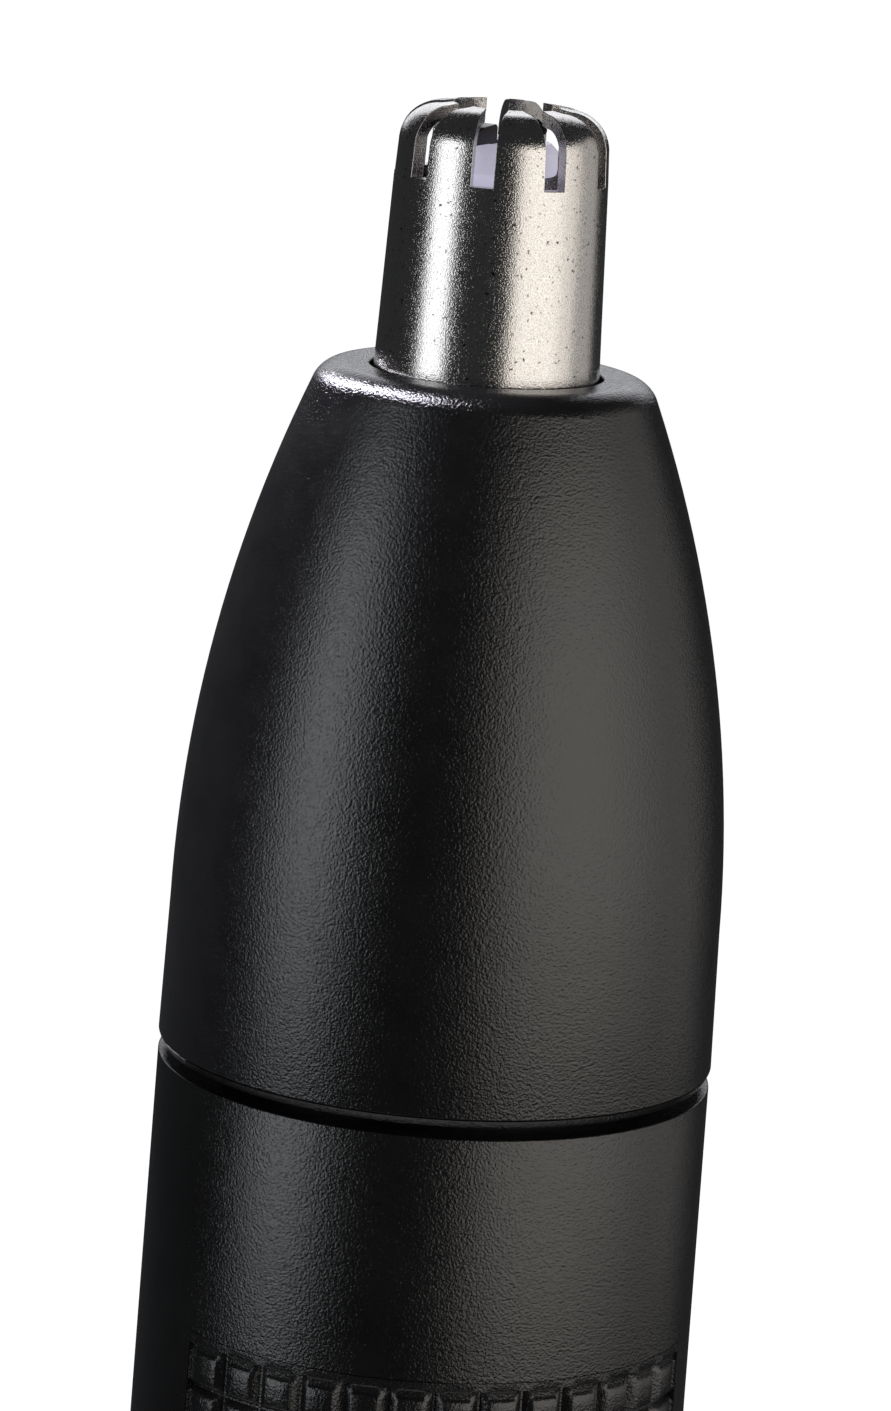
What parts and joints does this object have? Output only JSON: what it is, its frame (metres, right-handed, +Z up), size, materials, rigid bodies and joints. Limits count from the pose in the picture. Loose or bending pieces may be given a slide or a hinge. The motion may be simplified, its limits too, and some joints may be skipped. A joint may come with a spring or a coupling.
{
  "type": "nose hair trimmer",
  "caption": "Upright battery nose and ear hair trimmer: slotted steel tip over a rotary cutter, tapered black head cover, round black handle with a grid grip.",
  "frame": {"origin": "centre of the flat base of the end cap, on the axis", "axes": "+Z up along the axis to the slotted tip; -Y is the front, with the grip panel and the switch"},
  "size_m": [0.0242, 0.0246, 0.14],
  "materials": {
    "satin_black_plastic": "satin black, fine spark texture",
    "grip_black_plastic": "satin black, fine spark texture, raised pads",
    "switch_plastic": "satin black",
    "chassis_plastic": "dark grey, moulded",
    "carrier_plastic": "dark grey, moulded",
    "bell_plastic": "natural nylon",
    "pom_white": "natural white acetal, slightly translucent",
    "guard_steel": "satin stainless steel, fine grain",
    "blade_steel": "ground hardened steel",
    "spring_steel": "drawn spring wire",
    "motor_steel": "nickel-plated sheet",
    "core_steel": "laminated electrical steel",
    "magnet_ferrite": "sintered ferrite",
    "bush_bronze": "oil-filled sintered bronze",
    "winding_copper": "enamelled copper wire",
    "commutator_copper": "turned copper",
    "carbon": "pressed carbon on a leaf spring",
    "contact_nickel": "nickel-plated brass sheet",
    "screw_zinc": "zinc-plated",
    "seal_rubber": "black nitrile",
    "cell_jacket": "plain printed jacket, bare steel ends"
  },
  "bodies": {
    "handle": {"handle_shell": "satin_black_plastic", "grip_panel": "grip_black_plastic", "switch_bezel": "satin_black_plastic", "chassis": "chassis_plastic", "shaft_seal": "seal_rubber", "neck_seal": "seal_rubber", "motor_can": "motor_steel", "motor_end_bell": "bell_plastic", "motor_terminals": "contact_nickel", "motor_brushes": "carbon", "motor_magnets": "magnet_ferrite", "motor_front_bush": "bush_bronze", "motor_rear_bush": "bush_bronze", "motor_screws": "screw_zinc", "positive_contact": "contact_nickel", "switch_terminal": "contact_nickel", "negative_strip": "contact_nickel"},
    "drive": {"motor_shaft": "spring_steel", "armature_core": "core_steel", "armature_windings": "winding_copper", "commutator": "commutator_copper", "drive_coupling": "pom_white", "cutter_spring": "spring_steel"},
    "cutter": {"cutter_shaft": "pom_white", "cutter_blade": "blade_steel"},
    "head_core": {"guard_tip": "guard_steel", "guard_carrier": "carrier_plastic", "guide_ring": "bush_bronze"},
    "cover": {"head_cover": "satin_black_plastic"},
    "switch": {"switch_slider": "switch_plastic", "switch_bridge": "contact_nickel"},
    "battery": {"battery_cell": "cell_jacket"},
    "cap_contacts": {"contact_carrier": "chassis_plastic", "cap_contact": "contact_nickel", "negative_spring": "spring_steel"},
    "cap": {"end_cap": "satin_black_plastic", "cap_seal": "seal_rubber"}
  },
  "joints": [
    {"name": "rotor_spin", "type": "hinge", "parent": "handle", "child": "drive", "pos_m": [0, 0, 0.089], "axis": [0, 0, 1], "continuous": true},
    {"name": "cutter_float", "type": "slide", "parent": "drive", "child": "cutter", "axis": [0, 0, 1], "range_m": [-0.0006, 0], "stiffness_N_per_m": 30, "springref_m": 0.0006, "deforming": ["cutter_spring"]},
    {"name": "head_lift", "type": "slide", "parent": "handle", "child": "head_core", "axis": [0, 0, 1], "range_m": [0, 0.04]},
    {"name": "cover_twist", "type": "hinge", "parent": "head_core", "child": "cover", "pos_m": [0, 0, 0.115], "axis": [0, 0, 1], "range_deg": [0, 40]},
    {"name": "switch_slide", "type": "slide", "parent": "handle", "child": "switch", "axis": [0, 0, 1], "range_m": [0, 0.004]},
    {"name": "cap_pull", "type": "slide", "parent": "handle", "child": "cap_contacts", "axis": [0, 0, -1], "range_m": [0, 0.1]},
    {"name": "cap_twist", "type": "hinge", "parent": "cap_contacts", "child": "cap", "pos_m": [0, 0, 0.01], "axis": [0, 0, 1], "range_deg": [0, 40]},
    {"name": "battery_slide", "type": "slide", "parent": "handle", "child": "battery", "axis": [0, 0, -1], "range_m": [0, 0.05]}
  ],
  "couplings": [
    {"joint": "battery_slide", "follows": "cap_pull", "ratio": 0.5}
  ]
}
